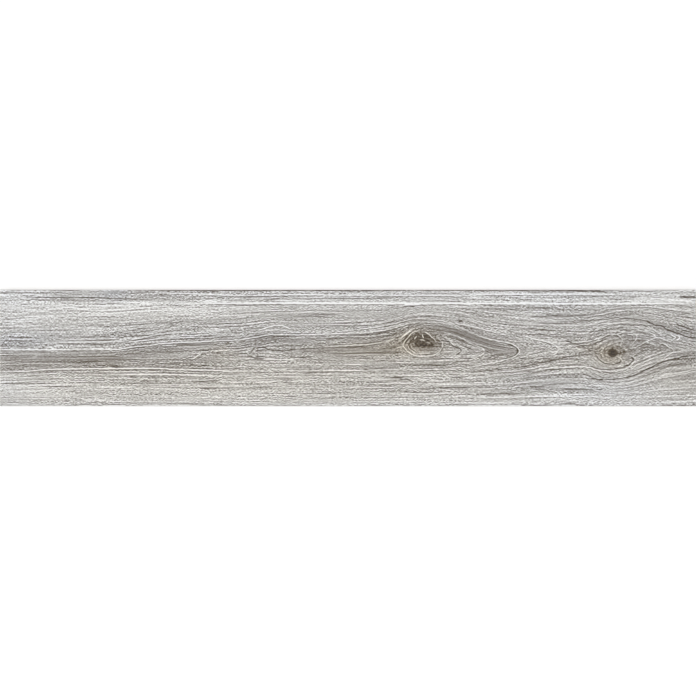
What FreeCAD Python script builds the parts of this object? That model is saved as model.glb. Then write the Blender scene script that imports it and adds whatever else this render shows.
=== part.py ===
"""Wood look porcelain plank tile: one dry pressed and fired piece with ground edges.

The row frame is +X along the grain, +Y across it and +Z up out of the face. The origin is
at the middle of the bedding plane, which the rib tops of the back lie in. Millimetres.
"""

import FreeCAD
import Part
import math
import os

# Format of the tile
tile_length = 1200.0
tile_width = 200.0
tile_thickness = 10.0  # from the bedding plane to the face

# Bevel ground round the face at 45 degrees
face_arris = 0.7

# Keying lattice pressed into the back: square recesses between crossing ribs
recess_mouth = 22.0  # across the flats, at the bedding plane
recess_depth = 0.8
recess_draft = 40.0  # degrees that a recess wall leans from upright, so the tile leaves the die
recess_corner_cut = 3.5  # length that each corner loses along both sides
rib_width = 3.0  # land left between two recesses
least_margin = 12.0  # plain land kept inside the ground edges


def rectangle(size_x, size_y, z):
    """A closed wire centred on the Z axis."""
    x, y = size_x / 2, size_y / 2
    corners = [(-x, -y), (x, -y), (x, y), (-x, y)]
    points = [FreeCAD.Vector(px, py, z) for px, py in corners]
    return Part.makePolygon(points + points[:1])


def cut_corner_square(flats, cut, z):
    """A closed square wire centred on the Z axis, with its corners cut at 45 degrees."""
    far, near = flats / 2, flats / 2 - cut
    corners = [(far, -near), (far, near), (near, far), (-near, far)]
    corners += [(-px, -py) for px, py in corners]
    points = [FreeCAD.Vector(px, py, z) for px, py in corners]
    return Part.makePolygon(points + points[:1])


def blank():
    """The pressed plank with its edges ground square and the face's arris bevelled."""
    outline = Part.Face(rectangle(tile_length, tile_width, 0))
    slab = outline.extrude(FreeCAD.Vector(0, 0, tile_thickness))
    round_the_face = [
        edge
        for edge in slab.Edges
        if all(abs(vertex.Z - tile_thickness) < 1e-6 for vertex in edge.Vertexes)
    ]
    return slab.makeChamfer(face_arris, round_the_face)


def recess():
    """The body of one die stud, with its mouth in the bedding plane and its walls drafted."""
    lean = math.tan(math.radians(recess_draft))
    # The stud starts one depth below the mouth, so that the cut leaves no skin behind.
    wires = []
    for z in (-recess_depth, recess_depth):
        inset = lean * z
        flats = recess_mouth - 2 * inset
        # A drafted wall on the corner cut moves in by the same inset as the flats do.
        cut = recess_corner_cut - inset * (2 - math.sqrt(2))
        wires.append(cut_corner_square(flats, cut, z))
    return Part.makeLoft(wires, True, True)


def places_across(extent):
    """Centres of as many recesses as fit the extent inside the margins, about its middle."""
    pitch = recess_mouth + rib_width
    count = int((extent - 2 * least_margin + rib_width) / pitch)
    return [(index - (count - 1) / 2) * pitch for index in range(count)]


def keying_lattice():
    """All the die studs of the back, one for each recess."""
    stud = recess()
    studs = []
    for x in places_across(tile_length):
        for y in places_across(tile_width):
            studs.append(stud.translated(FreeCAD.Vector(x, y, 0)))
    return studs


def plank_tile():
    """The fired tile as one solid."""
    return blank().cut(Part.makeCompound(keying_lattice()))


def write(shape, node):
    solid = shape.Solids[0]
    solid.exportStep(os.path.join("parts", node + ".step"))
    print(node, "solids", len(shape.Solids), "faces", len(solid.Faces),
          "volume_cm3", round(solid.Volume / 1000, 2), "valid", solid.isValid())


os.makedirs("parts", exist_ok=True)
write(plank_tile(), "plank_tile")
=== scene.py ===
import bpy
import math
import numpy as np
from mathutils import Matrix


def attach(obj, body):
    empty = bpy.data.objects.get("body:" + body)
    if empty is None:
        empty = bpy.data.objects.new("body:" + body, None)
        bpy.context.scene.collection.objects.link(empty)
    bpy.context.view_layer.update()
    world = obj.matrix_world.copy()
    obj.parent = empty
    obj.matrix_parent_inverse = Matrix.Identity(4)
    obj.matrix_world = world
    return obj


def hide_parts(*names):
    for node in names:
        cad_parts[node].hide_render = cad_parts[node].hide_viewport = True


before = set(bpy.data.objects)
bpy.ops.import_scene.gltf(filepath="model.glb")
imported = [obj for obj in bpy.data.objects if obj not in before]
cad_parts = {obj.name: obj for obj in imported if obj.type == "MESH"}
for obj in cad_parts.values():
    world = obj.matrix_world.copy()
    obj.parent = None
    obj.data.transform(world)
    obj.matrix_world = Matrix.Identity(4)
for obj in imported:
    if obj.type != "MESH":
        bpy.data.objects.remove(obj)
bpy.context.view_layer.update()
print("frame loaded")

# The tile, in metres: +X along the grain, +Y across it, +Z out of the face
tile = {
    "length": 1.2,
    "width": 0.2,
    "thickness": 0.010,
    "arris": 0.0007,  # bevel ground round the face
    "rows": 230,  # faces of the face's mesh across the grain
    "rowStep": 0.75,  # cells of the drawing between two rows, away from the figure
    "closeRows": [(28, 92)],
    "closeRowStep": 0.4,
    "columnStep": 3.0,  # cells of the drawing between two columns, away from the knots
    "midColumns": [(243, 298, 2.0), (448, 590, 2.0)],  # from, to, step
    "closeColumns": [(398, 448), (453, 464), (477, 487), (509, 521), (550, 560), (592, 682)],
    "columns": 378,
    "reliefDepth": 0.00014,  # of the pressed grain, below the highest point of the face
}

# The keying lattice of the back, as the die leaves it
back = {
    "pitch": 0.025,
    "mouth": 0.022,  # across the flats of one recess
    "depth": 0.0008,
    "draft": 40.0,  # degrees that a wall leans from upright
    "cornerCut": 0.0035,
    "along": 47,
    "across": 7,
}

# The print is drawn on a sheet of 696 cells along by 116 across. Rows count down from +Y.
sheet = {
    "cells": 696,
    "rows": 116,
    "middle": 348.0,
    "middleRow": 57.8,
}
cell = tile["length"] / sheet["cells"]

# How the rings run: the row of the heart line, its level along the plank, and guide lines
# of one level each, above the heart and below it. A level is a count of cells from the heart.
rings = {
    "heart": [(0, 69), (100, 69), (160, 66), (240, 62), (300, 60), (360, 60), (400, 59), (460, 60),
              (519, 61.5), (558, 59.5), (585, 60.5), (612, 62.5), (640, 61), (674, 60), (696, 59)],
    "heartLevel": [(0, 0), (435, 0), (461, 5), (484, 8), (519, 11), (558, 19), (586, 23),
                   (612, 20), (640, 20), (674, 24), (696, 26)],
    "above": [
        (69, [(0, -0.2), (696, -0.2)]),
        (55, [(0, 13.5), (696, 13)]),
        (40, [(0, 31), (110, 30), (180, 29), (240, 27), (275, 24.5), (330, 25.5), (380, 22),
              (400, 18.5), (420, 16.5), (445, 18), (480, 22), (520, 27), (560, 32), (600, 33),
              (620, 30), (640, 30), (660, 35), (680, 43.5), (696, 48.5)]),
        (24, [(530, 45), (545, 48), (565, 51), (578, 54.5), (588, 55.5), (595, 54), (603, 49),
              (612, 44.5), (625, 41), (640, 41), (652, 43.5), (660, 52), (668, 56), (674, 60)]),
        (19, [(0, 49), (110, 49), (130, 47), (150, 46), (170, 43.5), (190, 41), (240, 39),
              (258, 38), (275, 34), (300, 35.5), (340, 34.5), (380, 31), (400, 27), (420, 23),
              (440, 24), (470, 29), (500, 39), (530, 48), (545, 51), (557, 57), (558, 59.5)]),
        (11, [(0, 60), (110, 59.5), (120, 59), (135, 56.5), (150, 55), (180, 52.5), (205, 51.5),
              (240, 49.5), (262, 46), (270, 44.5), (300, 44.5), (365, 42.5), (385, 40),
              (400, 36), (410, 33), (420, 32), (440, 32.5), (455, 35), (468, 41), (480, 46),
              (490, 49), (500, 51), (510, 53), (515, 55.5), (519, 61.5)]),
    ],
    "below": [
        (52, [(0, 115.8), (696, 115.8)]),
        (31, [(0, 99), (240, 98.5), (400, 97), (500, 94), (540, 90.5), (586, 88), (600, 89.5),
              (615, 89.5), (628, 87), (640, 82.5), (655, 75.5), (668, 70.5), (690, 66),
              (696, 65)]),
        (24, [(0, 93), (240, 91.5), (400, 89.5), (450, 85.5), (480, 81.5), (500, 79), (520, 77),
              (540, 72.5), (558, 69), (575, 65.5), (585, 64.5), (590, 68), (595, 74), (603, 78.5),
              (612, 80.5), (625, 79), (640, 72), (655, 67.5), (668, 62), (674, 60)]),
        (19, [(0, 88), (240, 87), (400, 85.5), (450, 83), (480, 78.5), (500, 76), (515, 73),
              (530, 70), (547, 65), (555, 63), (558, 59.5)]),
        (11, [(0, 81.3), (25, 81.3), (50, 79), (93, 78.5), (160, 78.3), (215, 80), (230, 81.5),
              (280, 80.4), (345, 80.4), (400, 79.5), (450, 79), (465, 76.5), (490, 73),
              (510, 68), (517, 65.5), (519, 61.5)]),
    ],
    # Each knot: place, half sizes along and across, tilt in degrees, how deep its rings dip
    # and how far they take over from the fibres
    "knots": [
        {"at": (420.5, 52.5), "size": (19, 11), "tilt": 10, "dip": 14, "reach": 1.35},
        {"at": (612.5, 62.5), "size": (13, 10.5), "tilt": 0, "dip": 13, "reach": 1.7},
    ],
}

# How the fine fibres run: they follow the upper border of the heart wood above the heart and the
# lower border below it, and straighten out towards the plank's sides
fibres = {
    "upper": [(0, 60), (110, 59.5), (135, 56.5), (160, 53.5), (205, 51.5), (240, 49.5), (270, 44.5),
              (365, 42.5), (385, 40), (400, 36), (410, 33), (420, 32), (440, 32.5), (455, 35),
              (470, 41), (490, 48), (519, 53), (560, 54), (585, 52), (600, 48), (612, 43), (625, 39),
              (640, 38), (652, 40), (665, 44), (680, 49), (696, 53)],
    "lower": [(0, 81.3), (50, 79), (93, 78.5), (160, 78.3), (215, 80), (280, 80.4), (400, 79.5),
              (450, 79), (480, 78.5), (500, 77), (520, 75), (540, 71), (560, 68), (585, 67),
              (592, 72), (603, 79), (615, 81), (628, 79), (640, 74), (655, 68), (668, 64),
              (696, 61)],
    "upperRow": 48.0,  # where the upper border would lie on a plank without knots
    "lowerRow": 76.0,
}

# Broad tones of the print: strength in steps of a 255 scale, half width in cells, and points
toneBands = [
    # Heart band
    (-30, 6.5, [(-20, 67), (60, 68), (110, 68), (150, 61), (200, 56)]),
    (-20, 7, [(-20, 74), (120, 74), (230, 68)]),
    (-12, 5, [(70, 60), (120, 56), (180, 52), (230, 50)]),
    (-17, 6, [(190, 54), (240, 50), (300, 55), (345, 57), (400, 60)]),
    (-14, 8, [(150, 68), (240, 63), (330, 61), (400, 62)]),
    (-22, 3.5, [(240, 48), (270, 47), (340, 47), (380, 45)]),
    (-17, 5, [(350, 48), (380, 44), (405, 36), (440, 37), (468, 46), (500, 54), (520, 60)]),
    (-12, 9, [(350, 55), (400, 48), (450, 44), (480, 50)]),
    (-14, 3, [(130, 77), (180, 77), (230, 77)]),
    (-14, 3, [(285, 77), (400, 77), (470, 76)]),
    # Above the heart band
    (-16, 5, [(-20, 50), (10, 50), (30, 54)]),
    (-9, 4, [(110, 33), (180, 31), (240, 35)]),
    (-12, 4, [(125, 47), (160, 45)]),
    (-22, 4, [(250, 48), (272, 44), (292, 46)]),
    (20, 7, [(-20, 14), (60, 17), (160, 19), (240, 17)]),
    (20, 8, [(-20, 27), (80, 27), (120, 24), (250, 21)]),
    (28, 5, [(-20, 4), (50, 7)]),
    (8, 10, [(-20, 38), (110, 38)]),
    (-9, 5, [(150, 8), (190, 7), (230, 4)]),
    (20, 3, [(-20, 12.5), (300, 12.5), (420, 12.8), (560, 12.8), (720, 12.5)]),
    (20, 4, [(490, 5), (560, 5), (600, 6)]),
    (22, 5, [(620, 8), (720, 7)]),
    (9, 4, [(500, 12), (720, 12)]),
    (10, 4, [(250, 8), (340, 7)]),
    (12, 3, [(-20, 1), (110, 1.5)]),
    (16, 3, [(300, 2), (720, 2)]),
    (10, 3.5, [(380, 7), (460, 7), (560, 8)]),
    (12, 4, [(250, 17), (400, 17)]),
    (10, 5, [(-20, 24), (50, 26)]),
    (12, 4, [(146, 37), (178, 38)]),
    # Below it
    (24, 9, [(-20, 97), (80, 98)]),
    (8, 5, [(60, 98), (140, 97)]),
    (9, 5, [(508, 84), (550, 86)]),
    (13, 8, [(70, 100), (210, 99), (350, 99)]),
    (8, 5, [(-20, 107), (60, 106)]),
    (-8, 4, [(110, 90), (160, 91), (220, 91)]),
    (8, 3, [(380, 112), (520, 112)]),
    (15, 6, [(-20, 110), (300, 111), (500, 111), (720, 110)]),
    (14, 6, [(520, 109), (600, 107), (720, 106)]),
    (8, 5, [(600, 94), (720, 96)]),
    (14, 4, [(246, 89), (310, 88)]),
    (-12, 3.5, [(150, 81), (210, 81.5), (236, 80)]),
    (6, 3.5, [(290, 82), (345, 82.5), (420, 81.5)]),
    (6, 5, [(316, 29), (370, 26)]),
    (7, 4, [(400, 92), (480, 92)]),
    # Right part
    (-12, 14, [(600, 50), (640, 55), (720, 52)]),
    (-14, 5, [(620, 27), (670, 36), (720, 48)]),
    (10, 4, [(520, 32), (560, 33)]),
    (-12, 5, [(500, 76), (560, 69), (590, 64)]),
    (-12, 5, [(640, 84), (670, 74), (720, 66)]),
    (-7, 4, [(480, 103), (540, 99), (580, 96)]),
]

# Round shades: strength, half sizes along and across, tilt in degrees, and place
toneSpots = [
    (-32, 14, 8, 8, (422, 51)),
    (-36, 20, 12, 8, (424, 51)),
    (-15, 8, 4, 12, (428, 49)),
    (-26, 5, 3, -20, (414, 47)),
    (-20, 12, 5, 4, (422, 54)),
    (-10, 11, 5, 0, (444, 65)),
    (-8, 10, 4, 14, (466, 52)),
    (-8, 26, 4, 0, (246, 64)),
    (9, 14, 4, 0, (416, 18)),
    (11, 10, 3, 0, (538, 31)),
    (8, 12, 3, 0, (176, 37)),
    (-10, 18, 5, 10, (456, 41)),
    (-12, 10, 3, 14, (477, 41)),
    (-17, 28, 8, 0, (625, 48)),
    (-30, 17, 8, 0, (393, 58)),
    (-20, 16, 7, -12, (390, 44)),
    (-10, 26, 5, 0, (418, 29)),
    (-20, 22, 7, 10, (494, 64)),
    (-18, 24, 8, 10, (455, 47)),
    (-20, 20, 9, 10, (496, 55)),
    (-12, 14, 5, 0, (508, 61)),
    (-24, 6.4, 5.6, 0, (612.5, 62.8)),
    (-18, 6, 2, -10, (621, 62.4)),
    (10, 6, 2.5, 0, (438, 57)),
    (10, 18, 2.5, 0, (196, 54.2)),
    (10, 12, 2, 0, (131, 86.5)),
    (7, 18, 3, 0, (18, 50)),
    (-27, 13, 6, 0, (603, 60.5)),
    (9, 14, 7, 0, (590, 49)),
    (-22, 15, 5, 0, (584, 57)),
    (-10, 26, 22, 0, (620, 60)),
    (-14, 16, 6, 0, (656, 58)),
    (14, 14, 8, 0, (556, 56)),
    (8, 14, 4, 0, (190, 64)),
    (12, 20, 3, 0, (262, 73)),
    (-12, 10, 5, 0, (226, 52)),
    (-10, 14, 7, 0, (490, 69)),
    (-8, 16, 5, 0, (488, 53)),
    (-10, 30, 5, 0, (190, 81)),
    (10, 12, 4, 0, (6, 93)),
    (8, 10, 4, 0, (250, 18)),
    (10, 12, 4, 0, (296, 67)),
    (-12, 14, 4, 0, (56, 58)),
    (-8, 12, 4, 0, (240, 64)),
    (-9, 16, 16, 0, (690, 72)),
    (8, 20, 5, 0, (572, 98)),
    (-8, 10, 5, 0, (390, 38)),
    (-8, 26, 3, 0, (310, 25.5)),
    (8, 14, 5, 0, (6, 87)),
    (9, 14, 6, 0, (8, 17)),
    (-8, 12, 4, 0, (488, 72)),
    (-8, 12, 4, 0, (680, 77)),
    (9, 30, 5, 0, (352, 59)),
    (7, 14, 5, 0, (622, 47)),
    (-8, 14, 4, 0, (660, 27)),
    (6, 30, 9, 0, (14, 98)),
    (7, 26, 5, 0, (98, 44)),
    (-8, 16, 4, 0, (56, 60)),
    (8, 14, 4, 0, (540, 17)),
    (7, 14, 4, 0, (154, 87)),
    (7, 12, 4, 0, (600, 9)),
    (7, 12, 4, 0, (8, 8)),
]

# Cores of the knots, with a crisp edge: strength, half sizes, tilt, and place
knotCores = [
    (-20, 12.4, 7.2, 3, (422, 50.8)),
    (-86, 4.7, 4.2, 0, (612.5, 63)),
]

# Where the fine lines are fainter: share taken off, half sizes, tilt, and place
calmSpots = [
    (0.45, 70, 7, 0, (30, 68)),
    (0.4, 50, 6, 0, (140, 67)),
    (0.4, 45, 4, -2, (300, 49)),
    (0.6, 26, 4, 14, (458, 42)),
    (0.55, 20, 5, 14, (482, 51)),
    (0.5, 20, 5, 0, (500, 60)),
    (0.3, 20, 6, 0, (445, 60)),
    (0.5, 10, 5, 0, (644, 45)),
    (0.4, 12, 4, 0, (606, 76)),
    (0.9, 6, 6, 0, (612.4, 62)),
    (0.35, 130, 15, 0, (80, 22)),
    (0.45, 50, 7, -4, (360, 59)),
    (0.3, 60, 10, 0, (0, 104)),
    (0.25, 60, 12, 0, (660, 104)),
    (0.6, 34, 18, -12, (684, 86)),
    (0.35, 50, 8, 0, (560, 86)),
    (0.3, 30, 6, 10, (560, 70)),
    (0.4, 110, 6, 0, (320, 24)),
    (0.3, 60, 7, 0, (50, 40)),
    (0.2, 90, 12, 0, (60, 70)),
    (0.3, 26, 4, 0, (88, 54)),
    (0.25, 60, 6, 0, (90, 3)),
    (0.2, 80, 5, 0, (350, 104)),
    (0.3, 24, 8, 0, (672, 74)),
    (0.35, 90, 5, 0, (350, 74)),
    (0.5, 14, 3, 0, (306, 82.5)),
    (0.5, 16, 3, 0, (376, 78)),
    (0.4, 14, 3, 0, (436, 75.5)),
    (0.8, 18, 3, 0, (194, 54)),
    (0.4, 40, 3, 0, (356, 63)),
    (0.35, 60, 16, 0, (556, 32)),
    (0.3, 40, 5, 0, (560, 93)),
]

# Where the print is warmer or cooler: amount, half sizes along and across, and place
warmSpots = [
    (-0.5, 60, 45, (0, 20)),
    (-1.1, 50, 9, (5, 52)),
    (-0.5, 50, 22, (560, 14)),
    (-0.6, 50, 12, (535, 88)),
    (0.45, 40, 16, (684, 92)),
    (0.8, 16, 6, (588, 58)),
    (-0.6, 34, 8, (676, 45)),
    (-0.9, 16, 10, (114, 3)),
    (-0.5, 900, 12, (348, 2)),
    (-0.5, 190, 14, (200, 48)),
    (0.9, 260, 30, (240, 88)),
    (0.4, 160, 14, (560, 74)),
    (1.6, 55, 10, (375, 58)),
    (2.5, 25, 13, (414, 50)),
    (2.7, 14, 10, (610, 63.5)),
    (0.8, 16, 10, (222, 61)),
    (0.5, 14, 9, (106, 74)),
    (-0.6, 30, 18, (0, 98)),
    (-0.8, 60, 14, (600, 102)),
    (-0.6, 900, 5, (348, 117)),
]

# Dark and pale lines of the print: strength, half width in cells, and points
darkLines = [
    (0.8, 0.6, [(110, 0.4), (200, 0.3), (350, 0.4), (580, 0.2), (605, 2), (607, 2.5)]),
    (0.4, 0.6, [(0, 0.4), (88, 0.4)]),
    (1.0, 0.6, [(500, 0.7), (590, 0.9), (603, 1.9), (608, 2.8)]),
    (0.6, 0.45, [(450, 17.8), (500, 18.5), (560, 18.3)]),
    (0.5, 0.45, [(500, 36), (530, 38.5), (560, 41), (590, 41.6), (606, 39.8)]),
    (0.5, 0.45, [(505, 41.5), (530, 44.3), (555, 46.3), (580, 46.5), (598, 44.5)]),
    (0.4, 0.45, [(520, 25.5), (560, 26.6), (600, 25.4), (640, 24)]),
    (1.0, 0.42, [(566, 87.5), (583, 87.5)]),
    (1.0, 0.5, [(20, 5), (40, 7.5), (95, 7.5), (110, 8.5), (150, 9.5)]),
    (0.4, 0.5, [(240, 6.8), (300, 6.6)]),
    (0.5, 0.5, [(490, 6.8), (520, 7)]),
    (0.5, 0.5, [(620, 6.5), (640, 6.8)]),
    (1.3, 0.75, [(680, 6.6), (696, 7)]),
    (0.4, 0.5, [(386, 17.3), (400, 16.8)]),
    (0.9, 0.5, [(403, 16.5), (414, 16.4)]),
    (0.4, 0.45, [(310, 24.5), (340, 24)]),
    (0.4, 0.45, [(286, 27), (330, 26)]),
    (0.35, 0.45, [(376, 43.5), (388, 42), (398, 39.5), (408, 36.5), (416, 34.5), (426, 34)]),
    (0.7, 0.45, [(350, 41), (376, 38), (390, 35.5), (402, 32), (412, 29.8), (424, 29), (440, 29.5)]),
    (0.7, 0.45, [(330, 35.5), (352, 35.6), (376, 34.5), (392, 31), (404, 28.5), (416, 26.5), (432, 26.5), (448, 28)]),
    (0.4, 0.45, [(446, 34.2), (458, 35.9), (468, 38), (480, 41.5)]),
    (0.35, 0.5, [(0, 47.5), (36, 47.5)]),
    (0.45, 0.6, [(0, 51), (35, 51.5)]),
    (0.5, 0.6, [(0, 56), (30, 56.5)]),
    (0.7, 0.5, [(118, 47), (134, 46.5), (150, 44.5), (165, 41.8), (185, 39.5), (205, 39)]),
    (0.7, 0.5, [(122, 50), (134, 50.5), (146, 48), (160, 45.3), (176, 43.6)]),
    (0.5, 0.5, [(60, 51.3), (100, 50.5), (118, 50)]),
    (0.2, 0.5, [(60, 54), (105, 53.3), (124, 53), (140, 52), (150, 50.8)]),
    (0.5, 0.5, [(120, 64), (200, 60), (240, 58)]),
    (0.7, 0.5, [(72, 72), (86, 71.5), (100, 71.2)]),
    (0.6, 0.5, [(92, 61), (106, 60.5)]),
    (0.6, 0.5, [(74, 66.5), (122, 66.3)]),
    (0.3, 0.45, [(60, 83.3), (98, 83.3), (130, 86.5), (190, 86)]),
    (1.1, 0.5, [(140, 91), (160, 90.8)]),
    (0.75, 0.5, [(190, 91.8), (220, 90.8)]),
    (0.85, 0.48, [(200, 98.3), (218, 97.8)]),
    (0.7, 0.5, [(246, 97.6), (275, 97.3)]),
    (0.9, 0.5, [(0, 93.5), (56, 93.5)]),
    (0.8, 0.5, [(45, 96.5), (75, 96.5)]),
    (1.9, 0.6, [(111, 76.4), (120, 76.3)]),
    (0.35, 0.45, [(240, 78.8), (300, 78.5), (345, 78.2), (400, 78.2), (440, 77.6), (468, 75.6)]),
    (0.35, 0.45, [(298, 82.2), (345, 82.2), (400, 81.6), (440, 80.6)]),
    # The small figure left of the first knot
    (1.0, 0.5, [(255, 57), (253, 59.5), (250.5, 62.5)]),
    (1.6, 0.6, [(249.5, 63.5), (251, 66.5), (257, 68), (264, 68.5)]),
    (1.6, 0.55, [(257, 57), (266, 58), (272, 60.5), (279, 60.3), (284, 61), (290, 59.8), (297, 59)]),
    (0.8, 0.45, [(295, 59.5), (318, 58), (340, 57), (362, 56), (380, 53.7)]),
    (1.0, 0.5, [(288, 64.5), (291, 66.5), (302, 67.3), (312, 67)]),
    (0.45, 0.45, [(300, 62), (320, 61), (360, 60)]),
    (0.5, 0.5, [(290, 70), (340, 69), (400, 68)]),
    # First knot
    (1.4, 0.5, [(402.3, 50.6), (406, 46.8), (410.5, 43)]),
    (1.3, 0.6, [(405, 53.4), (408, 49.8), (411.2, 46.4)]),
    (0.7, 0.5, [(412, 45.8), (418, 43), (426, 43.5), (430, 46)]),
    (0.35, 0.45, [(406, 56), (409, 60), (414, 63), (421, 64.5), (430, 63.5), (436, 60.5),
                 (440, 56), (439, 51)]),
    (0.5, 0.45, [(410, 53), (411, 57), (415, 61), (421, 62)]),
    (1.0, 0.8, [(413, 48), (416, 45.5), (420, 45)]),
    (1.6, 0.9, [(415.4, 48.6), (417.8, 48.4)]),
    (1.6, 0.9, [(420.4, 46.6), (422, 45.6)]),
    (1.6, 0.9, [(424, 46), (425.2, 47.2)]),
    (1.2, 0.5, [(429, 46), (432.3, 49), (435.5, 51.7)]),
    (1.0, 0.45, [(435, 48), (438.6, 51), (441, 54)]),
    (0.6, 0.7, [(424, 46.5), (428, 48)]),
    (0.5, 0.7, [(424, 53), (428, 55.5), (431, 57.5)]),
    (0.7, 0.6, [(412, 67), (424, 68), (440, 67)]),
    (0.7, 0.45, [(440, 53.4), (449, 53.5)]),
    (1.8, 0.58, [(449, 52), (451, 54.4), (454, 56.3), (458, 57.7), (460.4, 59), (460.7, 61.5),
                 (458.5, 63.6), (456, 65.2)]),
    (0.8, 0.6, [(450, 47), (458, 49), (466, 52)]),
    (0.35, 0.6, [(440, 34.5), (455, 37), (468, 43), (480, 48), (495, 52)]),
    (0.7, 0.5, [(444, 72), (460, 71.5), (474, 70)]),
    (1.3, 0.6, [(505, 53), (511, 55), (516, 57.5), (517.5, 61), (515, 65), (508, 68)]),
    # Between the knots
    (1.0, 0.5, [(470, 82), (500, 79), (520, 77), (530, 75), (544, 72.2)]),
    (1.7, 0.6, [(540, 72.8), (550, 71), (558, 69), (568, 66.6), (576, 65.4)]),
    (1.0, 0.5, [(575, 65.5), (585, 64.5), (597, 63.5)]),
    (0.6, 0.5, [(500, 83), (540, 80), (565, 76), (580, 73)]),
    (1.5, 0.6, [(565, 50.5), (572, 52.5), (578, 54.6)]),
    (1.0, 0.5, [(576, 54.3), (585, 55.5), (592, 55), (600, 51), (605, 47.5), (610, 45.8),
                (615, 45.5), (619, 47), (620, 49)]),
    (0.9, 0.6, [(595, 53), (600, 51.5), (603, 49.5)]),
    (0.7, 0.5, [(530, 38), (550, 40), (575, 41.6), (598, 41), (605, 39.5), (612, 39), (622, 39), (633, 40.5)]),
    (0.75, 0.5, [(560, 31), (590, 30.3), (604, 29.5), (616, 28), (630, 28.5), (650, 31)]),
    (0.5, 0.45, [(530, 33.2), (556, 33.5), (580, 32.5)]),
    (0.45, 0.4, [(598, 36.5), (620, 34.5), (640, 35.5), (655, 39)]),
    (0.5, 0.45, [(640, 58), (652, 57), (660, 57.5)]),
    (0.35, 0.45, [(655, 92), (675, 87.5), (696, 83.5)]),
    (0.6, 0.5, [(576, 57), (590, 58.5), (600, 58)]),
    (0.6, 0.5, [(580, 62), (592, 61), (603, 62)]),
    # Second knot
    (1.7, 1.0, [(615, 62.9), (618, 62.9), (622, 62.7)]),
    (0.5, 0.8, [(622, 62.3), (632, 60.8)]),
    (0.7, 0.7, [(613, 56.5), (612.8, 59)]),
    (1.1, 1.1, [(609.4, 63), (610.2, 60.7), (612.6, 59.8), (615, 60.7), (616, 63), (615, 65.2),
                (612.6, 66), (610.2, 65.2), (609.4, 63)]),
    (0.5, 0.4, [(605, 57), (604, 61), (605, 65), (608, 68.5)]),
    (0.4, 0.4, [(601, 58), (600, 62), (602, 66)]),
    (1.5, 0.55, [(596, 65.5), (599, 69), (602, 71.5), (606, 73.3), (611, 74), (616, 73.8),
                (620, 72), (621.5, 70)]),
    (1.0, 0.5, [(588, 75), (596, 78), (604, 79.3), (612, 79.2), (620, 77.8), (626, 75.8)]),
    (1.6, 0.65, [(624, 76.3), (629, 74.2), (632, 71.8), (633, 69.5), (632, 67)]),
    (0.35, 0.5, [(624, 44), (630, 45), (633, 48), (630, 52)]),
    (0.5, 0.5, [(656, 53.5), (645, 54.5), (638, 56.5)]),
    (0.8, 0.6, [(658, 56), (663, 57), (668, 58), (673, 60.5)]),
    (0.6, 0.6, [(640, 60), (650, 60), (664, 61)]),
    (1.2, 0.55, [(586, 88.3), (594, 88.8), (599, 89.4)]),
    (2.4, 0.9, [(599.5, 89.5), (602.5, 89.6)]),
    (1.0, 0.5, [(604, 89.5), (612, 89.4), (622, 88)]),
    (1.3, 0.58, [(623, 87.8), (628, 86.8), (634, 85), (638, 83.3)]),
    (2.3, 0.54, [(639, 83), (642, 81.5), (646, 79.6), (650, 77.5)]),
    (1.8, 0.5, [(652, 76.5), (655, 75), (658, 74)]),
    (2.3, 0.6, [(657, 74.3), (664, 71.5), (668, 70), (672, 69)]),
    (2.5, 0.65, [(671, 69.3), (680, 67.3), (687, 66), (696, 65.3)]),
    (1.4, 0.6, [(646, 31), (650, 32.5), (654, 34.5)]),
    (2.1, 0.6, [(655, 35), (660, 35.5), (664, 37), (667, 39.5)]),
    (2.4, 0.7, [(667, 39.8), (672, 41), (675, 42.3), (678, 43)]),
    (1.7, 0.68, [(678, 43), (682, 44.5), (686, 46), (696, 48.3)]),
    (1.4, 0.65, [(676, 33.5), (681, 35.8), (688, 37.8), (696, 41)]),
    (0.5, 0.42, [(640, 87.5), (655, 82), (670, 76), (696, 71)]),
    # Single dashes
    (1.3, 0.5, [(438, 97.7), (470, 97.4)]),
    (0.8, 0.5, [(420, 99), (436, 98.3)]),
    (1.2, 0.5, [(390, 87.5), (403, 87.4)]),
    (1.1, 0.6, [(450, 87.4), (462, 87.6)]),
    (1.2, 0.5, [(399, 89.2), (411, 89.2)]),
    (0.4, 0.45, [(480, 103), (500, 104), (520, 104)]),
    (1.3, 0.42, [(535, 99.3), (547, 99.3)]),
    (0.9, 0.42, [(529, 96.5), (546, 96.5)]),
    (1.3, 0.42, [(564, 99.3), (594, 99.3)]),
    (1.5, 0.5, [(596, 99.3), (602, 99.3)]),
    (1.2, 0.9, [(457, 30.8), (462, 31.2)]),
]
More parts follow.
